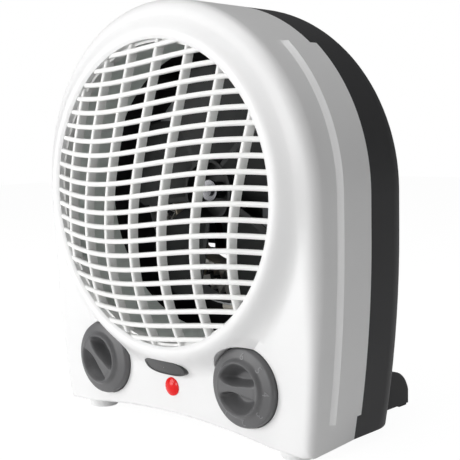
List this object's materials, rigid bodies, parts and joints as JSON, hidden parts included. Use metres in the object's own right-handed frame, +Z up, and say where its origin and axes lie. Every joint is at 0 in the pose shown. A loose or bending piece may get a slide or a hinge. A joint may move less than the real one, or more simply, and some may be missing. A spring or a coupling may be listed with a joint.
{
  "type": "fan heater",
  "caption": "Upright domestic fan heater: white front shell with a domed wave grille and control knobs, dark rear shell with an intake grille and rear stand legs.",
  "frame": {"origin": "on the floor under the middle of the bounding box", "axes": "+X to the viewer's right in front, +Y towards the back, +Z up; the grille faces -Y"},
  "size_m": [0.211, 0.156, 0.2362],
  "materials": {
    "white_plastic": "satin",
    "charcoal_plastic": "matte",
    "knob_grey": "satin",
    "badge_plate": "satin",
    "red_lens": "gloss",
    "lamp_glass": "clear",
    "fan_plastic": "satin",
    "zinc_steel": "zinc plated",
    "bright_steel": "ground",
    "core_steel": "laminated",
    "rotor_aluminium": "cast",
    "copper_winding": "enamelled",
    "bronze_bush": "sintered",
    "mica": "sheet",
    "ribbon_alloy": "bright",
    "natural_plastic": "satin",
    "contact_brass": "bright",
    "black_rubber": "matte"
  },
  "bodies": {
    "casing": {"front_housing": "white_plastic", "front_grille": "white_plastic", "badge_plate": "badge_plate", "indicator_lens": "red_lens", "indicator_lamp": "lamp_glass", "air_duct": "white_plastic", "duct_screws": "zinc_steel", "rear_housing": "charcoal_plastic", "intake_grille": "charcoal_plastic", "casing_screws": "zinc_steel", "cord_inlet": "black_rubber", "front_feet": "white_plastic", "rear_leg_left": "charcoal_plastic", "rear_leg_right": "charcoal_plastic", "rear_leg_pads": "black_rubber", "thermostat_body": "natural_plastic", "thermostat_bimetal": "contact_brass", "selector_switch": "natural_plastic", "stator_core": "core_steel", "coil_bobbin": "natural_plastic", "motor_coil": "copper_winding", "front_bearing_bracket": "zinc_steel", "rear_bearing_bracket": "zinc_steel", "bearing_bushes": "bronze_bush", "motor_mount": "zinc_steel", "motor_screws": "zinc_steel", "mount_screws": "zinc_steel", "heater_hoop": "zinc_steel", "heater_boards": "mica", "heater_ribbons": "ribbon_alloy", "thermal_cutout": "zinc_steel", "thermal_fuse": "natural_plastic", "terminal_block": "natural_plastic"},
    "fan": {"fan_impeller": "fan_plastic", "fan_retainer": "bright_steel", "motor_shaft": "bright_steel", "motor_rotor": "rotor_aluminium"},
    "thermostat": {"thermostat_knob": "knob_grey", "thermostat_shaft": "natural_plastic"},
    "selector": {"selector_knob": "knob_grey", "selector_shaft": "natural_plastic"}
  },
  "joints": [
    {"name": "fan_spin", "type": "hinge", "parent": "casing", "child": "fan", "pos_m": [0, -0.0145, 0.133], "axis": [0, 1, 0], "continuous": true},
    {"name": "thermostat_turn", "type": "hinge", "parent": "casing", "child": "thermostat", "pos_m": [0.0558, -0.0515, 0.0352], "axis": [0, 1, 0], "range_deg": [-150, 120]},
    {"name": "selector_turn", "type": "hinge", "parent": "casing", "child": "selector", "pos_m": [-0.0558, -0.0515, 0.0352], "axis": [0, 1, 0], "range_deg": [-90, 180]}
  ]
}
